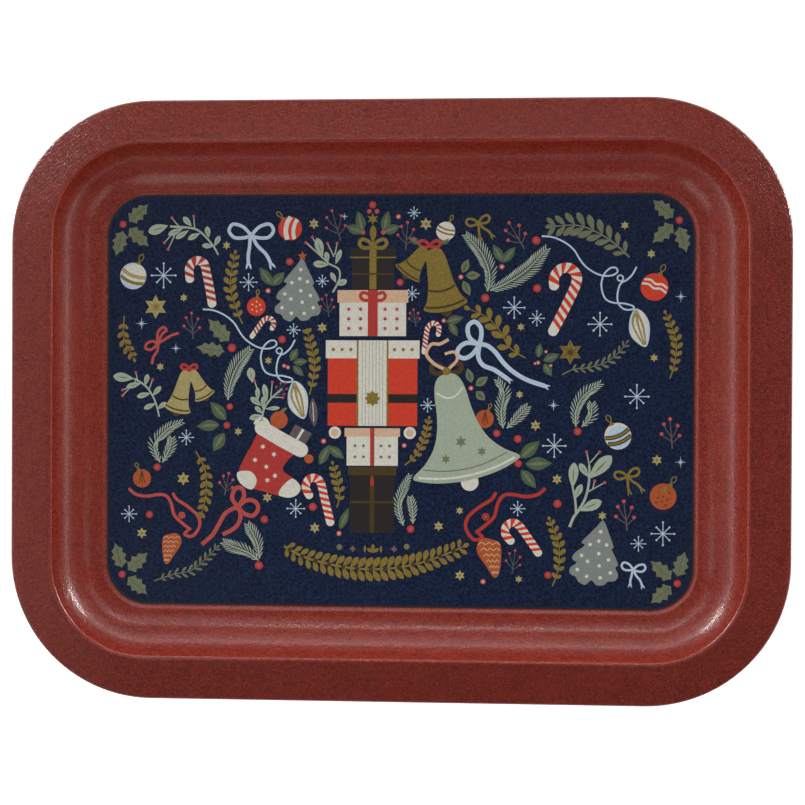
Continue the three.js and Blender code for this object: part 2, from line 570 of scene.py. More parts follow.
cream = Ink("cream", (246, 243, 230), (226, 220, 202))
peach = Ink("peach", (242, 202, 168), (222, 180, 146))
red = Ink("red", (238, 70, 42), (216, 58, 36))
brick = Ink("brick", (204, 62, 54), (178, 50, 46))
berry = Ink("berry", (214, 92, 98), (184, 74, 84))
coral = Ink("coral", (212, 88, 80), (184, 72, 68))
mauve = Ink("mauve", (112, 100, 104), (92, 78, 86))
orange = Ink("orange", (204, 98, 46), (178, 76, 34))
gold = Ink("gold", (156, 134, 54), (124, 100, 38))
straw = Ink("straw", (198, 184, 122), (168, 152, 92))
umber = Ink("umber", (86, 64, 22), (66, 50, 20))
dark = Ink("dark", (42, 34, 32), (32, 25, 24))
ice = Ink("ice", (212, 230, 246), (190, 212, 232))
sage = Ink("sage", (188, 200, 178), (170, 184, 160))
fir = Ink("fir", (150, 158, 152), (134, 144, 138))
leaf = Ink("leaf", (92, 112, 82), (70, 92, 64))
olive = Ink("olive", (132, 138, 106), (106, 114, 82))


# ---------------------------------------------------------------- motifs
def leaf_shape(ink, base, tip, width, vein=None, layer=0):
    """A pointed leaf, with a midrib in another ink."""
    ink.petal(base, tip, width, layer)
    if vein:
        heading = heading_to(base, tip)
        length = math.dist(base, tip)
        vein_ends = [ahead(base, heading, length * part) for part in (0.08, 0.85)]
        vein.petal(*vein_ends, width * 0.28, 1)


def holly_leaf(base, tip, width):
    """A leaf with three spines on each side."""
    side = [(0.08, 0.3), (0.18, 0.86), (0.3, 0.58), (0.46, 1.0), (0.57, 0.56), (0.72, 0.74), (0.82, 0.3)]
    spine = [(t, half * width / 2) for t, half in side]
    outline_points = [(0, 0)] + spine + [(1, 0)] + [(t, -half) for t, half in reversed(spine)]
    heading = heading_to(base, tip)
    length = math.dist(base, tip)
    ring = []
    for t, half in outline_points:
        ring.append(ahead(ahead(base, heading, t * length), heading + math.pi / 2, half))
    olive.flat(ring)
    leaf.stroke([ahead(base, heading, 0.1 * length), ahead(base, heading, 0.8 * length)], 0.4, 1)


def holly_corner(side_x, side_y):
    """Three holly leaves round a berry, in one corner of the panel."""
    leaves = [((141.8, 95), (131.5, 104)), ((141.8, 91.4), (131.3, 82)), ((145, 90), (148.8, 77))]
    lower = 1.4 if side_x < 0 else 0  # the left corners' holly stands nearer the middle
    for leaf_ends in leaves:
        ends = [(side_x * x, side_y * (y - lower)) for x, y in leaf_ends]
        holly_leaf(*ends, 8.4)
    fruit((side_x * 145, side_y * (93.6 - lower)), 1.9)


def fruit(centre, radius, ink=None):
    """A round berry with a lighter heart."""
    ink = ink or brick
    ink.disc(centre, radius)
    heart = berry if ink is brick else peach
    heart.disc(centre, radius * 0.55, 1, 10)


def snowflake(centre, radius):
    """Eight arms with a knob on each."""
    for arm in range(8):
        heading = arm * math.pi / 4
        reach = radius * (0.74 if arm % 2 else 0.93)
        tip = ahead(centre, heading, reach)
        ice.stroke([centre, tip], 0.24 + radius * 0.035)
        ice.disc(tip, 0.2 + radius * 0.055, 1, 10)
    ice.disc(centre, 0.2 + radius * 0.09, 1, 10)


def faceted_star(ink, line_ink, centre, radius):
    """A large star with a line from its heart to each tip and each notch."""
    ink.star(centre, radius, 6, 0.54)
    for arm in range(12):
        reach = radius * (0.46 if arm % 2 else 0.86)
        tip = ahead(centre, math.radians(90) + arm * math.pi / 6, reach)
        line_ink.stroke([centre, tip], 0.55, 1, 0.2)


def sparkle(centre, radius):
    ice.star(centre, radius, 4, 0.11)
    ice.star(centre, radius * 0.55, 4, 0.16, 45, 1)


def branch(ink, points, leaf_length, leaf_width, spacing, angle=38, stem=0.8, stalk=0.0):
    """A stem with pairs of blunt leaves, which get shorter towards both ends."""
    path = curve(points, 8)
    ink.stroke(points, stem, 0, stem * 0.6)
    places = marks(path, spacing, stalk)
    for i, (place, heading) in enumerate(places):
        t = (i + 0.6) / (len(places) + 0.2)
        size = 0.66 + 0.34 * math.sin(math.pi * t)
        for side in (1, -1):
            out = heading + side * math.radians(angle)
            tip = ahead(place, out, leaf_length * size)
            ink.petal(place, tip, leaf_width * size, 0, 0.62, 0.7)
    end = ahead(path[-1], heading_to(path[-2], path[-1]), leaf_length * 0.55)
    ink.petal(path[-1], end, leaf_width * 0.7, 0, 0.6, 0.7)


def pine_sprig(points, width):
    """A stem with fine needles lying along it, like a feather."""
    path = curve(points, 8)
    sage.stroke(points, 0.8, 1, 0.5)
    places = marks(path, 1.75, 0.6)
    for i, (place, heading) in enumerate(places):
        t = i / len(places)
        length = width * 0.98 * min(1, 0.55 + 2 * t, 0.35 + 1.5 * (1 - t))
        for side in (1, -1):
            sage.petal(place, ahead(place, heading + side * math.radians(34), length), 0.66, 0, 0.6)


def berry_sprig(foot, top, size=1.0):
    """A forked twig with a berry at each of its ends."""
    heading = heading_to(foot, top)
    length = math.dist(foot, top)
    ends = [(1.0, 0.0), (0.84, 0.22), (0.76, -0.24), (0.52, 0.32), (0.42, -0.28)]
    for t, sideways in ends:
        parting = ahead(foot, heading, length * t * 0.45)
        tip = ahead(ahead(foot, heading, length * t), heading + math.pi / 2, length * sideways)
        bend = ahead(foot, heading, length * t * 0.78)
        bend = ahead(bend, heading + math.pi / 2, length * sideways * 0.7)
        mauve.stroke([parting, bend, tip], 0.55 * size, 0, 0.45 * size)
        berry.disc(tip, 1.0 * size, 1, 10)
    mauve.stroke([foot, ahead(foot, heading, length * 0.5)], 0.8 * size, 0, 0.6 * size)


def mistletoe(stems, leaves, twigs):
    """Pale stems with blunt leaves, and twigs with a pink tip."""
    for points, width in stems:
        sage.stroke(points, width, 0, width * 0.75)
    for base, tip, width in leaves:
        sage.petal(base, tip, width, 0, 0.62, 0.65)
        heading = heading_to(base, tip)
        length = math.dist(base, tip)
        rib_ends = [ahead(base, heading, length * part) for part in (0.25, 0.8)]
        olive.petal(*rib_ends, width * 0.13, 1)
    for base, tip in twigs:
        sage.stroke([base, tip], 0.7, 0, 0.5)
        berry.disc(tip, 0.8, 1, 10)


def bow(ink, knot, size, width, turn=0.0, tails=True):
    """Two drawn loops of ribbon and two forked tails. Its loops reach about 6.5 from the knot."""
    strands = [
        [(0, 0), (-2.5, 2.6), (-5.6, 3.4), (-6.8, 1.4), (-5.2, -0.6), (-2.2, -0.7), (0, 0)],
        [(0, 0), (2.5, 2.6), (5.6, 3.4), (6.8, 1.4), (5.2, -0.6), (2.2, -0.7), (0, 0)],
    ]
    if tails:
        strands.append([(-0.3, 0), (-0.5, -3.4), (-0.9, -6.2), (-0.8, -9.0)])
        strands.append([(0.3, 0), (1.8, -3.0), (4.6, -5.8), (6.2, -9.0)])
    for strand in strands:
        ink.stroke(moved(strand, knot, turn, size), width)
    if tails:
        for strand in strands[2:]:
            fork(ink, moved(strand, knot, turn, size), width)
    ink.disc(knot, width * 0.75, 1, 12)


def fork(ink, strand, width):
    """The swallow-tailed end of a ribbon."""
    end = strand[-1]
    onward = heading_to(strand[-2], end)
    for side in (1, -1):
        middle = ahead(end, onward + side * math.pi / 2, width * 0.2)
        foot = ahead(middle, onward, -0.6 * width)
        tip = ahead(middle, onward + side * 0.4, 1.5 * width)
        ink.petal(foot, tip, width * 0.7, 1, 0.4)


def candy_cane(ink, points, width):
    """A cream hook with slanting stripes."""
    cream.stroke(points, width, 0, rounded=True, steps=8)
    station_spacing = width * 0.13
    stations = marks(curve(points, 8), station_spacing)
    stripe_steps, period, slant = 3, 6, 2
    for first in range(slant, len(stations) - stripe_steps - slant, period):
        left, right = [], []
        for k in range(first, first + stripe_steps + 1):
            for edge, shift, way in ((left, slant, 1), (right, -slant, -1)):
                place, heading = stations[k + shift]
                edge.append(ahead(place, heading + way * math.pi / 2, width / 2))
        ink.band(left, right, 1)


def bauble(ink, centre, radius, cap_heading):
    """A glass ball with a cap and a long hanging loop."""
    ink.disc(centre, radius, 0, 30)
    out = math.radians(cap_heading)
    gold.stroke([ahead(centre, out, radius * 0.9), ahead(centre, out, radius + 0.8)], radius * 0.32)
    foot = radius + 0.8
    loop = [(foot, 0), (foot + radius * 0.4, radius * 0.17), (foot + radius * 0.66, 0)]
    loop += [(foot + radius * 0.4, -radius * 0.17), (foot, 0)]
    gold.stroke(moved(loop, centre, cap_heading), 0.55)


def stripe(ink, centre, radius, turn, offset, sag, width, layer=1):
    """A curved stripe right across a ball."""
    half = math.sqrt(max(radius ** 2 - offset ** 2, 0)) * 0.97
    points = [(-half, offset), (-half * 0.5, offset - sag * 0.75), (0, offset - sag)]
    points += [(half * 0.5, offset - sag * 0.75), (half, offset)]
    ink.stroke(moved(points, centre, turn), width, layer)


def dotted_tree(apex, turn, size):
    """A fir with three skirts, a scalloped hem and snow dots."""
    skirts = [
        (0, 0), (3.2, -6), (6.2, -12.6), (5.4, -14), (8, -18.5), (9.2, -21.6), (8, -23), (9.8, -26.5),
        (8.4, -29.4), (4.8, -30.2), (3.2, -32), (-0.6, -32.4), (-3.2, -30.2), (-6, -32.8), (-9.6, -31.6),
        (-11, -29.3), (-14, -28), (-14.2, -25), (-11.2, -22.2), (-13.6, -20.6), (-12.6, -17.4), (-8, -13.2),
        (-9.8, -11.8), (-6.2, -7.2), (-3, -3.4),
    ]
    dots = [
        (-0.8, -5.7), (-1.3, -10.5), (2.7, -12), (-5.5, -12.5), (-0.8, -16.7), (-9.2, -18.4), (4.3, -19.3),
        (-6, -21), (0, -22.7), (-10.6, -25.6), (5.8, -25.6), (-5.7, -28.5), (1, -28.6),
    ]
    fir.flat(curve(moved(skirts, apex, turn, size), 3, closed=True))
    for dot in moved(dots, apex, turn, size):
        cream.disc(dot, 0.95, 1, 12)


def streamer(shift_x, shift_y):
    """A looping ice-blue ribbon that ends in an oval ornament with gold stripes."""
    def put(points):
        return moved(points, (shift_x, shift_y))
    first = [
        (74.5, 85.5), (80, 85), (86, 82.5), (91, 78.5), (94.5, 73), (97.5, 69.5), (102, 66.5), (106.5, 65),
        (111, 65.3), (113.5, 67), (112.8, 69), (110, 69), (106.8, 66), (105.3, 61), (106, 56), (108, 52.6),
        (112, 51), (117, 50.7), (121.5, 49.4), (121.6, 47.8), (117.5, 47.6), (114.5, 50), (113.5, 54),
        (114.3, 59), (115.8, 61.6), (118, 62.6), (121, 65.4), (123.3, 69.6),
    ]
    ice.stroke(put(first), 0.9)
    ice.hoop(put([(115, 63.8)])[0], 1.5, 0.75, 1)
    shell = [
        (122.6, 48), (119.9, 42.5), (119.8, 36), (122.6, 31.4), (128, 28.2), (130, 33), (130, 40.5),
        (127, 46),
    ]
    ice.flat(curve(put(shell), 4, closed=True))
    middle = (125.2, 38.4)
    core = [(middle[0] + (x - middle[0]) * 0.8, middle[1] + (y - middle[1]) * 0.93) for x, y in shell]
    cream.flat(curve(put(core), 4, closed=True), 1)
    for bulge in (-2.6, 0.1, 2.4):
        rib = [(123, 47), (124.2 + bulge, 39.5), (127.6 + bulge * 0.25, 29.4)]
        gold.stroke(put(rib), 1.3, 2, 0.8)
        straw.stroke(put(rib), 0.45, 3)


def ribbon_and_cone(ink, at, size, cone_at, cone_size, mirror):
    """A looping ribbon with a patterned cone hanging from it."""
    def put(points):
        return moved(points, at, 0, size, mirror)
    strands = [
        [
            (30.5, 22.5), (27, 19.7), (21, 18.6), (14, 19.6), (9.5, 19), (6.6, 15), (4.6, 8), (0, 3.4),
            (-4.4, 0),
        ],
        [
            (5.2, 20), (3, 16.8), (-3, 13), (-8.6, 8), (-10.2, 3), (-8, -2), (-5, -4.2), (-1.4, -3),
            (-3, -1),
        ],
    ]
    for strand in strands:
        ink.stroke(put(strand), 1.8 * size, 0, rounded=True)
    ink.hoop(put([(0.3, 7.9)])[0], 1.6 * size, 0.8, 1)
    orange.disc(put([(0.3, 7.9)])[0], 1.0, 1, 10)
    cone = [
        (-0.5, -3.2), (4, -4), (7.4, -5.4), (8.4, -10), (8, -18), (6.4, -23), (4.2, -23.2), (0, -17),
        (-4.2, -10.4), (-3.6, -5.6),
    ]

    def on_cone(points):
        return moved(points, cone_at, 0, cone_size, mirror)

    orange.flat(curve(on_cone(cone), 4, closed=True), 1)
    for row in range(6):
        v = -6.2 - 3 * row
        left = -3.6 + 1.45 * row
        right = 7.6 - 0.1 * row
        zigzag = [(left + (right - left) * k / 6, v + (0.9 if k % 2 else -0.4)) for k in range(7)]
        peach.stroke(on_cone(zigzag), 0.45 * cone_size, 2, steps=2)
        for k in range(5 - row // 2):
            u = left + (right - left) * (k + 0.6) / (5.2 - row // 2)
            gold.disc(on_cone([(u, v - 1.4)])[0], 0.42 * cone_size, 2, 8)


def bell_ring(half, length, side, rim):
    """A bell's outline: down its right side, along the rim and up the left side."""
    right = [(half * u, -length * v) for u, v in side]
    bottom = [(half * u, -length * v) for u, v in rim]
    return right + bottom + [(-u, v) for u, v in reversed(right)]


def hem_line(half, length, down, reach, sag):
    """A sagging line across a bell, part of the way down."""
    return [(half * reach * k, -length * (down + sag * (1 - k * k))) for k in (-1, -0.5, 0, 0.5, 1)]


def jingle_bell(ink, trim, crown, turn, half, length):
    """A bell hung by its crown, with a striped skirt and a clapper."""
    side = [(0.24, 0.02), (0.42, 0.14), (0.5, 0.36), (0.6, 0.62), (0.8, 0.84), (1.0, 0.96)]
    rim = [(0.55, 1.03), (0, 1.05), (-0.55, 1.03)]
    ring = bell_ring(half, length, side, rim)
    trim.disc(moved([(0, -length * 1.06)], crown, turn)[0], half * 0.22, 0, 16)
    ink.flat(curve(moved(ring, crown, turn), 3, closed=True), 1)
    for down, reach in ((0.66, 0.6), (0.92, 0.9)):
        hem = hem_line(half, length, down, reach, 0.05)
        trim.stroke(moved(hem, crown, turn), half * 0.07 + 0.3, 2)


# ---------------------------------------------------------------- the panel's zones
LID_OVERHANG = 1.1


def slab(ink, left, right, bottom, top, layer):
    ink.flat([(left, bottom), (right, bottom), (right, top), (left, top)], layer)


def gift(ink, lid_ink, ribbon, middle, low, high, half, lid, width):
    """A wrapped box: body, lid a little wider, and a ribbon down its middle."""
    lid_half = half + LID_OVERHANG
    slab(ink, middle - half, middle + half, low, high - lid, 0)
    slab(lid_ink, middle - lid_half, middle + lid_half, high - lid, high, 0)
    slab(ribbon, middle - width / 2, middle + width / 2, low, high, 1)


def gift_tower():
    """A tall stack of wrapped boxes up the middle of the panel."""
    middle = -13

    gift(dark, dark, gold, middle, 58, 79.6, 11, 5, 3.6)
    gold.stroke([(middle - 12.1, 74.6), (middle + 12.1, 74.6)], 0.7, 1)
    umber.stroke([(middle - 11, 66), (middle + 11, 66)], 0.9, 1)
    bow(gold, (middle, 80.4), 1.05, 1.9, tails=False)
    gold.petal((middle, 81), (middle, 91.4), 3.6, 0, 0.66, 0.7)
    gold.star((-13.2, 94.6), 3.2, 6, 0.45)
    fruit((-13.3, 102), 1.9)
    for side in (-1, 1):
        for sideways, height in ((2, 98.6), (5.3, 87.7)):
            berry.disc((middle + side * sideways, height), 1.25, 1, 12)
        for leaf_ends in (((5.4, 88.2), (8, 98.8)), ((5.4, 87.6), (14.2, 91))):
            ends = [(middle + side * x, y) for x, y in leaf_ends]
            leaf_shape(leaf, *ends, 5.2, olive)

    gift(cream, peach, brick, middle, 33.6, 57.6, 17.4, 6.6, 5.2)
    for side in (-1, 1):
        for column in (6.4, 12.6):
            for row in range(3):
                brick.star((middle + side * column, 37.6 + 5 * row), 1.3, 6, 0.5, 90, 1)
    bow(brick, (middle, 53), 0.95, 1.7, tails=False)

    gift(red, cream, cream, middle, -13.2, 31.4, 23.4, 9.4, 15.6)
    slab(dark, -36.4, -20.8, -1.2, 3.4, 1)
    slab(dark, -5.2, 10.4, -1.2, 3.4, 1)
    for u in range(-3, 4):
        sage.stroke([(middle + 1.8 * u, 31.2), (middle + 1.8 * u, -13)], 0.35, 2)
    for side in (-1, 1):
        edge = middle + side * 7.8
        gold.stroke([(edge, 31.4), (edge, -13.2)], 0.9, 2)
        for column in range(3):
            gold.disc((middle + side * (11.4 + 4.6 * column), 26.6), 0.9, 1, 12)
    gold.star((middle, 1.1), 4.2, 8, 0.7, 90, 3)

    gift(cream, peach, brick, middle, -34, -14.4, 13.4, 4.4, 2.2)
    for side in (-1, 1):
        for column in (4.6, 9):
            olive.disc((middle + side * column, -23.6), 0.8, 1, 10)
            olive.disc((middle + side * column, -29.4), 0.8, 1, 10)
        cream.disc((middle + side * 19.6, -16.8), 3.2, 0, 20)
        peach.disc((middle + side * 19.6, -16.8), 1.9, 1, 16)
    gift(dark, umber, umber, middle, -69, -34.6, 11.6, 4.4, 2.4)
    umber.stroke([(middle - 11.6, -53), (middle + 11.6, -53)], 1.2, 1)
    brick.petal((middle, -39), (middle, -45), 2.0, 2, 0.6)


def ribboned_bell():
    """A large sage bell, tilted, with a cream hem, under a bow with a peach streamer."""
    crown, turn = (25.4, 13.6), 12.6
    half, length = 28, 51
    side = [
        (0.12, 0), (0.24, 0.07), (0.3, 0.2), (0.33, 0.38), (0.4, 0.56), (0.53, 0.72), (0.76, 0.86),
        (1.0, 0.95),
    ]
    rim = [(0.95, 1), (0.55, 1.07), (0, 1.1), (-0.55, 1.07), (-0.95, 1)]
    ring = bell_ring(half, length, side, rim)
    cream.disc(moved([(0, -length * 1.12)], crown, turn)[0], 4.6, 0, 22)
    sage.flat(curve(moved(ring, crown, turn), 3, closed=True), 1)
    hems = [(0.97, 0.92, cream, 1.1), (0.9, 0.8, olive, 0.6), (0.16, 0.25, cream, 0.9)]
    for down, reach, ink, width in hems:
        hem = hem_line(half, length, down, reach, 0.08)
        ink.stroke(moved(hem, crown, turn), width, 2)
    for sideways in (-0.34, 0.34):
        star_at = moved([(half * sideways, -length * 0.84)], crown, turn)[0]
        olive.star(star_at, 2.6, 6, 0.5, 90, 2)
    olive.star(moved([(0, -length * 0.7)], crown, turn)[0], 3.2, 6, 0.5, 90, 2)
    bow(umber, (25.6, 15.4), 1.15, 2.6, 4, tails=False)
    gold.disc((25.6, 15.4), 2.1, 2, 16)
    peach.stroke([(24.6, 16.4), (19, 19.4), (15, 24.4), (17.6, 29.4), (22, 29.6), (26.6, 32)], 1.7, 0)
    peach.stroke([(26.6, 16.6), (31, 21.4), (29.6, 25.4), (24.6, 24.4)], 1.5, 1)


def gift_stocking():
    """A brick-red stocking on its side, stuffed with presents, with cream cuff, heel and toe."""
    mauve.flat([(-58.6, -21.6), (-50, -26), (-44.6, -17.4), (-53.4, -12.6)])
    cream.stroke([(-54.4, -23.8), (-49.2, -15.2)], 1.4, 1)
    orange.disc((-62, -10.4), 4.6, 1, 20)
    leaf_shape(olive, (-61.6, -6.6), (-57.6, -3.8), 1.9)
    cream.stroke([(-66, -17), (-68.6, -11), (-72, -9.6), (-74.4, -12)], 1.9, 0, rounded=True)
    legging = [
        (-71, -15.6), (-76.6, -24), (-81, -32), (-83.4, -39), (-80, -45), (-71, -47.6), (-60, -50.4),
        (-53, -49.4), (-51, -44.6), (-55, -40.4), (-60, -36.4), (-56, -30), (-50.6, -25.6), (-60, -20.6),
    ]
    brick.flat(curve(legging, 3, closed=True), 1)
    toe = [(-61.6, -50), (-56, -51), (-51.8, -49), (-50.6, -45), (-54.6, -41), (-58.6, -43.6), (-61.4, -47)]
    heel = [(-84, -38), (-82.4, -43.6), (-76.4, -47), (-73.6, -42), (-77, -37.4)]
    cream.flat(curve(toe, 3, closed=True), 2)
    cream.flat(curve(heel, 3, closed=True), 2)
    for spot in ((-70.4, -24.4), (-64.6, -28.4), (-74.6, -31.4), (-68.6, -35), (-68, -42), (-64, -39.6)):
        cream.star(spot, 1.5, 6, 0.45, 90, 2)
    cream.stroke([(-71, -14.6), (-61, -20.4), (-50.4, -26)], 7.6, 2, rounded=True)
    orange.disc((-46.2, -30.6), 2.4, 1, 14)
    mauve.petal((-44.4, 1.4), (-43.4, -14), 4.6, 0, 0.5, 0.9)
    cream.stroke([(-44.3, -1), (-43.7, -11)], 0.4, 1)


def title_garland():
    """A garland of gold leaves and beads, sagging along the lower edge."""
    swag = [
        (-59, -76.4), (-50, -81.4), (-38, -85), (-25, -87.4), (-12, -88), (2, -86.8), (15, -83.6),
        (27, -79.2), (34, -76),
    ]
    branch(gold, swag, 7.4, 3.4, 3.9, 58, 1.4, 1.6)
    for place, _ in marks(curve(swag, 8), 7.4, 3.4):
        umber.disc(place, 1.2, 2, 12)
    for x, y in ((-23, -77.4), (-1.4, -77.4)):
        mauve.star((x, y), 1.9, 4, 0.6)
        orange.disc((x, y), 0.6, 1, 8)
    for x, y in ((-30, -76.6), (5.2, -76)):
        olive.disc((x, y), 1.5, 0, 12)
        gold.disc((x, y), 0.8, 1, 10)
    for lean in (-1, 0, 1):
        foot = (-12.4, -79.4)
        gold.petal(foot, ahead(foot, math.radians(90 - 52 * lean), 4.6 - 0.8 * abs(lean)), 1.9, 0, 0.6, 0.7)
    for x in (-16.6, -8.2):
        gold.petal((x, -79.4), (x, -75.6), 1.3, 0, 0.5, 0.7)


def bells():
    """Two pairs of gold bells, tied with bows."""
    jingle_bell(gold, umber, (14.6, 79.4), -36, 7.8, 17)
    jingle_bell(gold, umber, (18.6, 79.4), 12, 11.6, 32)
    for at, turn in (((11.4, 81.6), 150), ((21.8, 81.6), 30)):
        leaf_shape(leaf, at, ahead(at, math.radians(turn), 7), 3.8, olive)
    bow(brick, (16.6, 80.6), 0.8, 1.7, tails=False)
    jingle_bell(straw, umber, (-110.8, 15.4), -14, 7.2, 22)
    jingle_bell(straw, umber, (-108.4, 15.4), 28, 5.8, 16)
    bow(brick, (-109.6, 16.4), 0.62, 1.4, tails=False)


def ribbons():
    """Bows in ice blue, gold and coral, the streamers, and the ribbons with cones."""
    bow(ice, (-77, 86.2), 1.72, 1.8)
    bow(ice, (122.4, -86.6), 0.9, 1.15, -6)
    bow(gold, (41.8, 92.4), 0.9, 1.3, 12)
    bow(gold, (119.2, -38.4), 0.94, 1.3, 12)
    for loop in (
        [(-126.4, 29.4), (-124.1, 34.3), (-121.7, 36.6), (-123.6, 38), (-126.2, 35.4), (-126.6, 29.6)],
        [(-126.4, 29.4), (-129, 30.7), (-132.2, 29.4), (-132.6, 26.8), (-129.6, 26.4), (-126.4, 29.2)],
        [(-126.2, 29.6), (-123.3, 31.2), (-119.1, 33.8), (-115.2, 35)],
        [(-126.4, 29.4), (-126.4, 26), (-128.6, 22.4), (-129.4, 18.6)],
    ):
        coral.stroke(loop, 1.4)
    coral.disc((-126.4, 29.4), 1.2, 1, 14)
    for loop in (
        [(-83.6, -56), (-86.6, -51.6), (-85, -46.6), (-81.4, -46.4), (-80.4, -50.6), (-83.4, -56)],
        [
            (-83.4, -56), (-79, -52.6), (-74.4, -53.2), (-72.8, -57), (-75.6, -60.6), (-80, -59.6),
            (-83.6, -56.2),
        ],
        [(-83.6, -56), (-90, -59.4), (-94, -66), (-97, -71), (-102.6, -76)],
        [(-83.4, -56.4), (-82, -60.6), (-83.6, -65.4), (-87, -68.4), (-91.6, -70.6)],
    ):
        coral.stroke(loop, 2.2)
    coral.disc((-83.6, -56.2), 1.8, 1, 14)
    for ends in (
        [(42, 29.4), (37.4, 33), (36.6, 38.6), (40, 41.2), (43.2, 38), (43.4, 33), (42, 28.6)],
        [(42.4, 29.6), (36, 30.2), (32, 27.6), (31.2, 24), (34.6, 22.2), (38.6, 24), (41.8, 28)],
        [(42.4, 29.8), (47, 28.6), (51, 25.2), (55, 20), (60, 15.4), (67, 11.2), (76.4, 8)],
        [(42.6, 29), (42, 23), (44.6, 18.6), (50, 16.4), (54.6, 13.4), (57.4, 11.4)],
    ):
        ice.stroke(ends, 2.3)
    for tip, way in (((76, 8.2), -20), ((57, 11.8), -36)):
        for spread in (-22, 16):
            ice.petal(tip, ahead(tip, math.radians(way + spread), 3.4), 1.3, 1, 0.3, 0.8)
    streamer(0, 0)
    streamer(-177, -38)
    ribbon_and_cone(brick, (46, -68), 1.0, (46, -68), 1.0, False)
    ribbon_and_cone(coral, (-113, -68), 0.92, (-116.9, -67.6), 0.8, True)


def canes():
    """Four large candy canes and two small ones."""
    large = [
        (81, 60), (81.2, 64.6), (84.6, 68.6), (89.4, 68.8), (92.6, 65), (92, 60), (88, 51), (84, 43),
        (80.6, 36.4),
    ]
    candy_cane(red, large, 5.2)
    left = [
        (-109.4, 63.6), (-109.6, 69.4), (-106.4, 73), (-102.2, 71.8), (-100.6, 66.6), (-98.8, 58),
        (-97.6, 50.6),
    ]
    candy_cane(brick, left, 4.6)
    by_stocking = [
        (-46, -49.6), (-47.8, -45.6), (-46.4, -41.6), (-43, -40.6), (-40, -43), (-38.2, -50), (-36.2, -58),
        (-34.8, -63.6),
    ]
    candy_cane(red, by_stocking, 4.3)
    low = [
        (59.2, -72.4), (56.6, -69.2), (56.6, -65.4), (59.8, -63), (63.4, -64.4), (67.4, -69.6),
        (73.4, -78.4),
    ]
    candy_cane(red, low, 4.2)
    for small in (
        [(-65.8, 37.6), (-64.9, 40.2), (-66.6, 42.7), (-69.6, 42.4), (-72, 39.6), (-76.4, 33.4)],
        [(21.2, 34.6), (21.4, 38.6), (18.6, 40.4), (15.8, 38.2), (14.8, 33), (13.8, 25.4)],
    ):
        candy_cane(brick, small, 2.6)


def baubles():
    """Glass balls, each with its own pattern."""
    bauble(red, (-56.5, 89.8), 6.2, 128)
    stripe(cream, (-56.5, 89.8), 6.2, 82, 0.6, -1.6, 2.4)
    stripe(cream, (-56.5, 89.8), 6.2, 82, -3.0, -1.2, 2.0)
    bauble(cream, (24.8, 88.2), 4.9, 66)
    stripe(gold, (24.8, 88.2), 4.9, -18, 1.6, 0.7, 0.9)
    stripe(gold, (24.8, 88.2), 4.9, -18, -0.4, 0.8, 0.9)
    bauble(red, (132.5, 59.2), 7.1, 66)
    for offset in (2.2, -0.2):
        half = math.sqrt(7.1 ** 2 - offset ** 2) * 0.94
        wave = [(half * (k / 2 - 1), offset + (0.5 if k % 2 else -0.5)) for k in range(5)]
        cream.stroke(moved(wave, (132.5, 59.2), -22), 1.1, 1)
    bauble(cream, (114.2, -17.8), 6.9, 118)
    ice.disc((114.8, -18.4), 6.0, 1, 26)
    for offset in (1.4, -2.0):
        stripe(dark, (114.2, -17.8), 6.9, 22, offset, 1.4, 2.2, 2)
        stripe(gold, (114.2, -17.8), 6.9, 22, offset, 1.4, 1.1, 3)
    bauble(orange, (137.5, -48.8), 6.8, 58)
    for spot in (
        (135, -47), (139, -51), (136, -52), (134, -50), (140, -47.4), (133, -52.4), (138, -53.6),
        (136.6, -49.6),
    ):
        umber.petal(spot, ahead(spot, math.radians(35), 2.0), 0.7, 1)
    leaf_shape(gold, (135.4, -47.2), (141.6, -43.2), 2.2, layer=2)
    bauble(orange, (45.5, -9.3), 4.7, 68)
    for turn in (60, 90, 118):
        umber.stroke([(45.8, -5.2), ahead((45.6, -9), math.radians(turn + 180), 3.2)], 0.5, 1)
    bauble(red, (-74.2, 48.9), 4.9, 84)
    spots = [(0, 0), (2, 1), (-2, 1.2), (0.2, 2.6), (0.4, -2.4), (-2.2, -1.6), (2.6, -1.6)]
    for spot in moved(spots, (-74.2, 48.9)):
        peach.disc(spot, 0.55, 1, 8)
    bauble(orange, (-134.5, -41.5), 4.8, 112)
    for turn in (60, 90, 118):
        umber.stroke([(-134.6, -37.4), ahead((-134.5, -41.2), math.radians(turn + 180), 3.2)], 0.5, 1)
    bauble(ice, (-139.5, 65), 7.0, 66)
    cream.disc((-138.7, 65.6), 5.8, 1, 26)
    stripe(straw, (-139.5, 65), 7.0, -20, 1.4, 1.4, 1.9, 2)
    stripe(gold, (-139.5, 65), 7.0, -20, -2.0, 1.4, 1.7, 2)


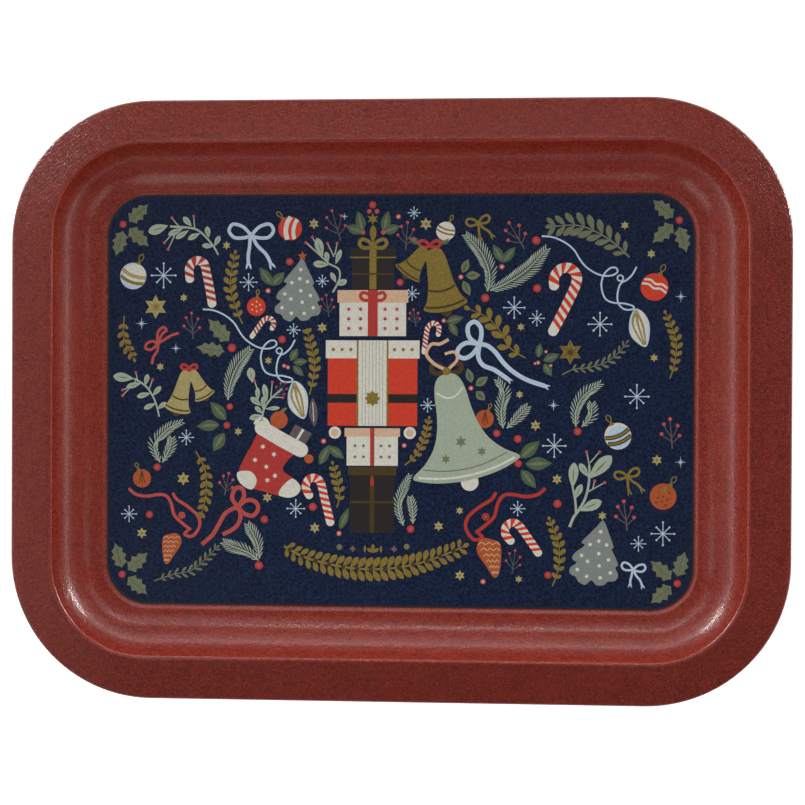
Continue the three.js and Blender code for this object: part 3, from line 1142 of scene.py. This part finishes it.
def sky():
    """Snowflakes, sparkles, stars and loose berries between the larger motifs."""
    for x, y, radius in (
        (-123.3, 65.3, 6.8), (-78.3, 61.7, 4.6), (-111, -19.8, 4), (-141.3, -60.3, 4.2),
        (-39.5, 62.3, 3.2), (-54.5, 36.7, 3.5), (-53, -56.7, 4.8), (8.3, 97.8, 3.2), (7.5, 55.8, 3.7),
        (60.5, 48.5, 5.7), (72.2, 43, 4), (15.8, -2.3, 3.6), (62.8, -55.7, 3.8), (104.7, 40, 6.3),
        (123.8, 2.7, 6.4), (81.5, -23, 6.2), (125, -73.3, 3.9), (137.5, -68, 6.3),
    ):
        snowflake((x, y), radius)
    for x, y, radius in (
        (-135, 40, 3.5), (-116.7, 27, 3), (-28, 96, 2.2), (146, 54.3, 3.2), (81, -2, 3.2),
        (146.3, -31, 3.3),
    ):
        sparkle((x, y), radius)
    for x, y, radius in (
        (-90, 81, 2.3), (-112.6, 53.6, 2.2), (-125, 17.3, 2.2), (-83.5, -16.5, 2.2), (-112.5, -41.5, 3.6),
        (-134.5, -70.3, 3), (-44, 92.2, 2.9), (-39.5, 38, 2.8), (-67.7, 20.7, 2.1), (-68, -51, 2.7),
        (-43, -66.7, 2.9), (14.5, 92, 3.4), (64, 38.5, 2.1), (63.5, 3.5, 2.1), (71.8, -12.5, 2.9),
        (32.7, -57, 2.1), (21.8, -65.2, 2.7), (33, -90.7, 2.8), (63.5, -92.3, 2), (117.2, 91, 2.3),
        (130.8, 76.3, 2.4), (132.5, 22.7, 2.2), (134.2, -30, 2.9), (83, -40.3, 2.8), (106.4, -59, 2.4),
    ):
        straw.star((x, y), radius, 6, 0.54)
        if radius > 2.5:
            gold.disc((x, y), radius * 0.22, 1, 8)
    faceted_star(straw, gold, (-127.5, 48.8), 6.3)
    faceted_star(gold, umber, (89.5, 25.5), 6.4)
    orange.star((-50, 75.4), 2.6, 5, 0.45)
    for x, y, radius in (
        (-56.7, 72.4, 1.9), (-60.5, 31.8, 2), (-44, -55.7, 2.1), (-69.5, -62.5, 2), (-72.3, -86.7, 2.2),
        (1.2, 61.6, 1.8), (45.5, 53.5, 2.1), (71.7, 83.3, 2.2), (72.3, 58.5, 2.1), (51.8, -16.7, 1.9),
        (62.7, -19.5, 2), (63, -32.3, 1.9), (7.2, -66.8, 2), (83.3, -53, 2.1), (93.5, -15.5, 2),
        (78.6, -90, 1.9), (-87, 27.3, 2.2), (-88, -3.5, 1.7), (-89.5, -13.3, 1.8), (-126.5, -35.5, 1.9),
        (-130.5, -60.5, 1.9),
    ):
        fruit((x, y), radius)
    for x, y, radius in (
        (-68, 57.2, 1.4), (-59.4, 18, 1.1), (-57.4, 17.2, 1.1), (-38.5, -21.3, 1.4),
        (-30.2, -69.5, 1.4), (0.2, 95.8, 1.3), (54, 69.7, 1.4), (38.3, 6.7, 1.3), (3.7, -23.3, 1.3),
        (45, -93.8, 1.4), (77, 25.7, 0.9), (79.5, 18.5, 0.9), (73, 20, 1.1), (71.4, 19.6, 0.8),
        (32.8, 64.4, 1.3), (24, 41.7, 1.2),
    ):
        fruit((x, y), radius, berry)


def greenery():
    """Holly, leaves, sprigs and branches all over the panel."""
    for side_x in (1, -1):
        for side_y in (1, -1):
            holly_corner(side_x, side_y)
    for base, tip, width in (
        ((-66, 60), (-72.4, 69.6), 5.4), ((-66, 60), (-59.4, 67), 5.4), ((54.6, 72), (49.4, 81.4), 4.8),
        ((54.6, 72), (61, 80), 4.8), ((-56, 20.6), (-52.4, 27.2), 4.4), ((-54.6, 19.6), (-47, 20.6), 4),
        ((-54.8, 18), (-49, 12.6), 4), ((25.2, 41), (34.4, 43.6), 4.6), ((27, 40.6), (31.2, 33.6), 4.2),
        ((64, -29.4), (74, -20.6), 6.6), ((66.6, -32.6), (80.4, -32), 7),
        ((64.4, -35.6), (72.2, -45), 6), ((73, 22.6), (74, 30.2), 4), ((75.6, 21), (84, 24.4), 4.8),
        ((76, 19.4), (80, 13), 4.4), ((-40.6, -33.6), (-35.4, -23), 5), ((-36, -24), (-27.6, -30.4), 5),
        ((-29.8, -67.4), (-25.2, -56), 4.4), ((-89.9, -10.5), (-98.2, -1.1), 6.4),
        ((-93.4, -13), (-105.6, -14), 6), ((-91, -17.4), (-96.6, -27), 6.4),
    ):
        leaf_shape(leaf, base, tip, width, olive)
    holly_leaf((-88.5, 31), (-99.6, 42.4), 9)
    holly_leaf((-91, 25.4), (-106, 27.8), 8)
    for base, tip, width in (
        ((33.6, 66.6), (36.6, 73.6), 4.2), ((35.4, 65), (43, 65.4), 4.6), ((34, 62.4), (37.6, 54.6), 4.2),
        ((38.6, 9.6), (36.4, 17), 4.2), ((40.8, 8), (47, 12.6), 4.6), ((41, 5), (45.6, 0.4), 4.6),
    ):
        leaf_shape(olive, base, tip, width, leaf)
    for points, width in (
        ([(46.6, 57), (47.6, 66), (43.4, 77), (35, 86.6)], 7.6),
        ([(48, 57.4), (58, 62), (68, 69), (77, 79)], 8.2),
        ([(55, -14), (54, -5), (55.4, 4), (52, 11)], 6.4), ([(57, -14), (62.4, -8.6), (67.4, -3)], 5.6),
        ([(3.4, -65), (0.6, -55), (3.4, -46), (6.6, -39)], 5.2),
        ([(8.4, -64), (8.2, -57), (7, -50)], 4.8),
        ([(92.6, -13), (92.6, -5), (96.6, 3), (104.6, 9)], 6.2),
        ([(95.6, -13), (100, -8), (100.8, -1)], 5.8),
        ([(-72.6, -84), (-78, -80), (-86, -77), (-91, -74.6)], 6.6),
        ([(-72, -83), (-73, -76), (-75.6, -70), (-78.4, -65)], 6.4),
        ([(-89, 0), (-88, 8), (-84, 18), (-77, 27)], 7.6),
        ([(-125, -33), (-128, -24), (-121, -15.6), (-114, -12)], 5.8),
        ([(-123.6, -33), (-120, -26), (-118.6, -20)], 5.6),
    ):
        pine_sprig(points, width)
    for points, length, width in (
        ([(-81.5, 40), (-84, 46), (-88, 60), (-85.6, 76)], 5.2, 2.7),
        ([(-144.3, 44), (-144.4, 32), (-139.4, 22)], 4.8, 2.5),
        ([(-106, -27), (-101, -37), (-100.5, -50), (-103, -60)], 5, 2.6),
        ([(-46, 3), (-44.4, 10), (-43.4, 20), (-47, 35)], 4.8, 2.5),
        ([(-31.4, -56), (-30, -49), (-31.6, -41), (-33.4, -34)], 4.6, 2.4),
        ([(4, -33.6), (10, -28), (14.4, -19), (16.4, -10)], 4, 2.2),
        ([(66.4, 22.4), (58, 28), (53.4, 36), (47, 43), (38, 47.4)], 7.2, 3.6),
        ([(140.6, 12), (143, 20), (143.6, 32), (138.6, 45)], 4.6, 2.4),
        ([(81, -95.6), (84, -86), (84, -74), (79.6, -62)], 4.8, 2.5),
    ):
        branch(gold, points, length, width, width * 1.62, angle=40, stem=0.7, stalk=4.0)
    broad = [(119.6, 74.6), (112, 81.6), (103, 87.4), (93, 91), (81, 90.6)]
    branch(olive, broad, 8.8, 3.5, 5.0, angle=46, stem=1.0, stalk=3.0)
    for points, stalk in (
        ([(85.4, 13.8), (91, 16.6), (99, 17.6), (108, 20.4), (114.6, 25.6), (118, 30)], 6),
        ([(-128, -95.5), (-118, -92), (-107, -89), (-95, -78)], 4),
    ):
        branch(olive, points, 4.6, 1.4, 3.7, angle=40, stem=0.6, stalk=stalk)
    for foot, top, size in (
        ((-30, 83.4), (-34.6, 99), 0.8), ((-36, 43.6), (-37.4, 55), 0.7), ((4, 78.6), (5, 92.8), 0.8),
        ((65.6, 79), (57.6, 92.4), 0.95), ((9.6, 38.6), (8.2, 47.4), 0.7),
        ((60, -89.6), (61.6, -77.4), 0.7), ((142, -24), (140.8, -8.8), 1),
        ((119.2, -66.6), (117.4, -51.4), 1), ((-107.6, 32), (-108.5, 45.5), 0.8),
        ((-90.6, -50), (-88.4, -38.6), 0.8), ((-63.6, 1.4), (-58.6, 9), 0.6),
    ):
        berry_sprig(foot, top, size)
    stem = [(-34, 56.4), (-32, 60), (-30.4, 64), (-31, 68.6), (-36, 71.4), (-41, 76), (-47.6, 82)]
    mistletoe(
        [(stem, 1.0)],
        [
            ((-39.4, 74.6), (-42.4, 84.8), 4.6), ((-36, 70.8), (-44.4, 71.4), 3.8),
            ((-36.6, 72), (-37.6, 77.6), 2.8), ((-32.6, 71), (-29.8, 78.8), 2.8),
            ((-32.2, 61.4), (-35, 66.8), 2.6), ((-32.4, 60.2), (-26.6, 62.6), 3.4),
        ],
        [
            ((-33.4, 75), (-36.9, 82)), ((-33, 76), (-31.8, 82)), ((-44, 78.6), (-48.2, 82.4)),
            ((-42, 80), (-44.8, 85.2)),
        ],
    )
    mistletoe(
        [([(-120, 91), (-108, 90), (-102.6, 87), (-97, 80.6), (-94.4, 76)], 1.2)],
        [
            ((-121, 91.5), (-131.5, 88), 5.4), ((-108.5, 91), (-113, 96), 3.2),
            ((-113, 90), (-121, 86.6), 3.2), ((-110, 89), (-117, 84.6), 3),
            ((-104, 87.5), (-110.5, 84.2), 3), ((-99.4, 85), (-100.5, 91), 3),
            ((-96.5, 80.6), (-93.6, 86), 2.8), ((-97, 80.5), (-103, 81), 2.8),
        ],
        [
            ((-115, 90.6), (-119, 95.5)), ((-107, 90.4), (-107.5, 96.4)), ((-117, 87.6), (-121, 79)),
            ((-118, 88), (-123, 82.5)),
        ],
    )
    mistletoe(
        [([(-139, 11), (-133, 7.4), (-129, 2), (-126.6, -4), (-125.5, -9)], 1.1)],
        [
            ((-139, 11), (-150, 12.2), 5), ((-135, 8.6), (-143, 6.6), 3),
            ((-133, 7.4), (-131.6, 13.4), 2.8), ((-130, 3.4), (-137.4, 1.4), 3),
            ((-129, 2), (-124.6, 7), 2.8), ((-127.4, -2), (-133.6, -4.8), 2.8),
            ((-126.4, -5), (-121.8, -1.4), 2.6),
        ],
        [
            ((-137, 10), (-138, 14.2)), ((-131, 5), (-129, 10.5)), ((-138, 9.6), (-145, 2)),
            ((-136, 8.6), (-145, 5)),
        ],
    )
    mistletoe(
        [([(-71, -10.6), (-70, -5), (-66.4, 0.6), (-60.4, 6)], 1.1)],
        [
            ((-71.4, -3), (-77, 1.4), 3.2), ((-70.4, -5), (-70.4, 2), 2.6),
            ((-68.4, -1), (-70, 8.4), 3.2), ((-69.4, -4.6), (-61.6, -4), 2.2),
            ((-73.2, -0.4), (-73.4, 6.6), 2.6), ((-70.8, -8), (-77.6, -9.6), 3.2),
            ((-70.8, -7), (-74.6, -3.4), 2.6), ((-76, 9), (-77.4, 17), 4.4),
        ],
        [((-66.4, 0.8), (-65.6, 9.4)), ((-65.4, 1.6), (-60, 1.4)), ((-73.6, 6), (-75, 10))],
    )
    mistletoe(
        [
            ([(89.6, -65), (91.6, -60), (94, -56.6), (97.6, -50), (99.4, -42), (99.6, -33)], 1.5),
            ([(93, -58), (92.4, -51), (91, -44)], 1.3),
        ],
        [
            ((91, -45), (91.8, -31.6), 5.2), ((92, -50.6), (95.8, -42.8), 3.6),
            ((99.2, -40), (111, -28), 7), ((99, -39), (94.6, -32), 3.6),
            ((94.6, -56.6), (106, -51.4), 5.6),
        ],
        [
            ((99.6, -33), (98.2, -26)), ((100, -31.6), (104.8, -26)), ((98.8, -46.8), (107.6, -41.8)),
            ((101.4, -45.2), (102.4, -41)),
        ],
    )


def panel_rim():
    """A thin dark line round the navy ground."""
    inner, outer = (outline(FIELD_INSET + inset) for inset in (1.0, 0.1))
    dark.band(inner + inner[:1], outer + outer[:1])


def print_artwork():
    """All the inks. A different order would change which islands stand a little higher."""
    panel_rim()
    gift_tower()
    ribboned_bell()
    gift_stocking()
    bells()
    title_garland()
    ribbons()
    canes()
    baubles()
    dotted_tree((-50, 74), 0, 1)
    dotted_tree((107, -61.4), -5, 1.04)
    sky()
    greenery()
    for ink in Ink.every:
        ink.piece()


# ---------------------------------------------------------------- the pieces
tray = pressed_sheet(
    red_enamel("red_enamel", 1.08),
    red_enamel("red_enamel_flange_painted_shade", 0.78),  # painted shade: the flange's enamel is a darker copy, standing in for shade the lamps don't give
    clear_lacquered_tinplate(),
)
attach(tray, "root")
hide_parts("tray_pan")

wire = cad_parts["edge_wire"]
wire.data.materials.clear()
wire.data.materials.append(drawn_wire_steel())


def film_slab(name, inset, bottom, top, material):
    """A flat coat inside the tray's outline at one inset."""
    ring = outline(inset)
    count = len(ring)
    points = [(x, y, bottom) for x, y in ring] + [(x, y, top) for x, y in ring]
    faces = [tuple(reversed(range(count))), tuple(range(count, 2 * count))]
    for i in range(count):
        j = (i + 1) % count
        faces.append((i, j, count + j, count + i))
    return mesh_object(name, points, faces, [material])


ground = film_slab("navy_field", FIELD_INSET, SHEET, GROUND_TOP, navy_ground())
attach(ground, "root")
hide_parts("printed_field")
print_artwork()


# ---------------------------------------------------------------- floor, lights and camera
FLOOR_SIZE = 8000
FLOOR_DROP = 0.05  # below the tray, so that the two faces don't coincide


def studio_floor():
    """A pale sweep that the tray lies on."""
    nodes = Nodes("studio_floor", roughness=0.9)
    nodes.set("Base Color", (0.9, 0.9, 0.9))
    nodes.set("Emission Color", (1.0, 1.0, 1.0))
    nodes.set("Emission Strength", 0.8)
    half = FLOOR_SIZE / 2
    corners = [(-half, -half, 0), (half, -half, 0), (half, half, 0), (-half, half, 0)]
    floor = mesh_object("studio_floor", corners, [(0, 1, 2, 3)], [nodes.material])
    floor.location.z = -FLOOR_DROP * MM


BOX_DISTANCE = 1.6
STRIP_SIZE = (0.8, 0.06)
BOX_SIZE = (0.8, 0.5)
ROOM_BRIGHTNESS = 0.95
# Azimuth from the back, clockwise seen from above, elevation, both in degrees, and watts.
# The narrow strips only draw highlights, and the diagonal boxes light the whole tray.
STRIPS = [(60, 2.2, 26), (310, 2.2, 26), (0, 56, 3)]
DIAGONALS = [(45, 60, 2.0), (135, 60, 2.2), (225, 60, 2.9), (315, 60, 2.4)]


def soft_box(azimuth, elevation, watts, size):
    """A lamp of the given size that looks at the tray."""
    light = bpy.data.lights.new("soft_box", "AREA")
    light.shape = "RECTANGLE"
    light.size, light.size_y = size
    light.energy = watts
    lamp = bpy.data.objects.new("soft_box", light)
    flat_reach = BOX_DISTANCE * math.cos(math.radians(elevation))
    lamp.location = (
        flat_reach * math.sin(math.radians(azimuth)),
        flat_reach * math.cos(math.radians(azimuth)),
        BOX_DISTANCE * math.sin(math.radians(elevation)),
    )
    lamp.rotation_euler = (-lamp.location).to_track_quat("-Z", "Y").to_euler()
    bpy.context.scene.collection.objects.link(lamp)
    return lamp


def soft_room():
    """Pale walls under a dark ceiling, brightest low down, and dim in front and under the floor."""
    world = bpy.data.worlds.new("soft_room")
    bpy.context.scene.world = world
    world.use_nodes = True
    nodes = Tree(world.node_tree)
    way = nodes.add("ShaderNodeSeparateXYZ")
    nodes.feed(way.inputs[0], nodes.add("ShaderNodeTexCoord").outputs["Generated"])
    right, back, up = way.outputs
    behind = nodes.remap(back, 0.15, 0.85, 0.0, 1.15)
    behind = nodes.maths("MULTIPLY", behind, nodes.remap(up, 0.36, 0.58, 1.0, 0.0))
    in_front = nodes.remap(back, -0.85, -0.15, 0.35, 0.0)
    at_back = nodes.remap(back, 0.2, 0.7, 0.0, 0.4)
    on_right = nodes.remap(right, 0.0, 0.8, 0.0, 0.3)
    walls = nodes.maths("SUBTRACT", nodes.maths("SUBTRACT", 0.64, in_front), on_right)
    walls = nodes.maths("SUBTRACT", walls, at_back)
    walls = nodes.maths("MULTIPLY", walls, nodes.remap(up, 0.48, 0.82, 1.0, 0.15))
    walls = nodes.maths("ADD", walls, behind)
    low = nodes.remap(right, -0.9, 0.3, 4.0, 3.8)
    low = nodes.maths("MULTIPLY", low, nodes.remap(up, 0.0, 0.32, 1.0, 0.0))
    low = nodes.maths("MULTIPLY", low, nodes.remap(back, -0.85, -0.2, 0.3, 1.0))
    glow = nodes.maths("MULTIPLY", nodes.maths("ADD", walls, low), ROOM_BRIGHTNESS)
    glow = nodes.maths("MULTIPLY", glow, nodes.remap(up, -0.2, -0.1, 0.1, 1.0))
    background = world.node_tree.nodes["Background"]
    nodes.feed(background.inputs["Color"], (1, 1, 1))
    nodes.feed(background.inputs["Strength"], glow)


def camera():
    """Almost straight down, its place a little to the right, leaning back to the left."""
    data = bpy.data.cameras.new("camera")
    data.sensor_width = 36
    data.lens = 60.16
    lens_over = bpy.data.objects.new("camera", data)
    lens_over.location = (0.0412, 0.0034, 0.7)
    lens_over.rotation_euler = [math.radians(turn) for turn in (-0.34, 3.15, 0.25)]
    bpy.context.scene.collection.objects.link(lens_over)
    bpy.context.scene.camera = lens_over


studio_floor()
for azimuth, elevation, watts in STRIPS:
    soft_box(azimuth, elevation, watts, STRIP_SIZE).visible_diffuse = False
for azimuth, elevation, watts in DIAGONALS:
    soft_box(azimuth, elevation, watts, BOX_SIZE)
soft_room()
bpy.context.scene.view_settings.view_transform = "Standard"
camera()
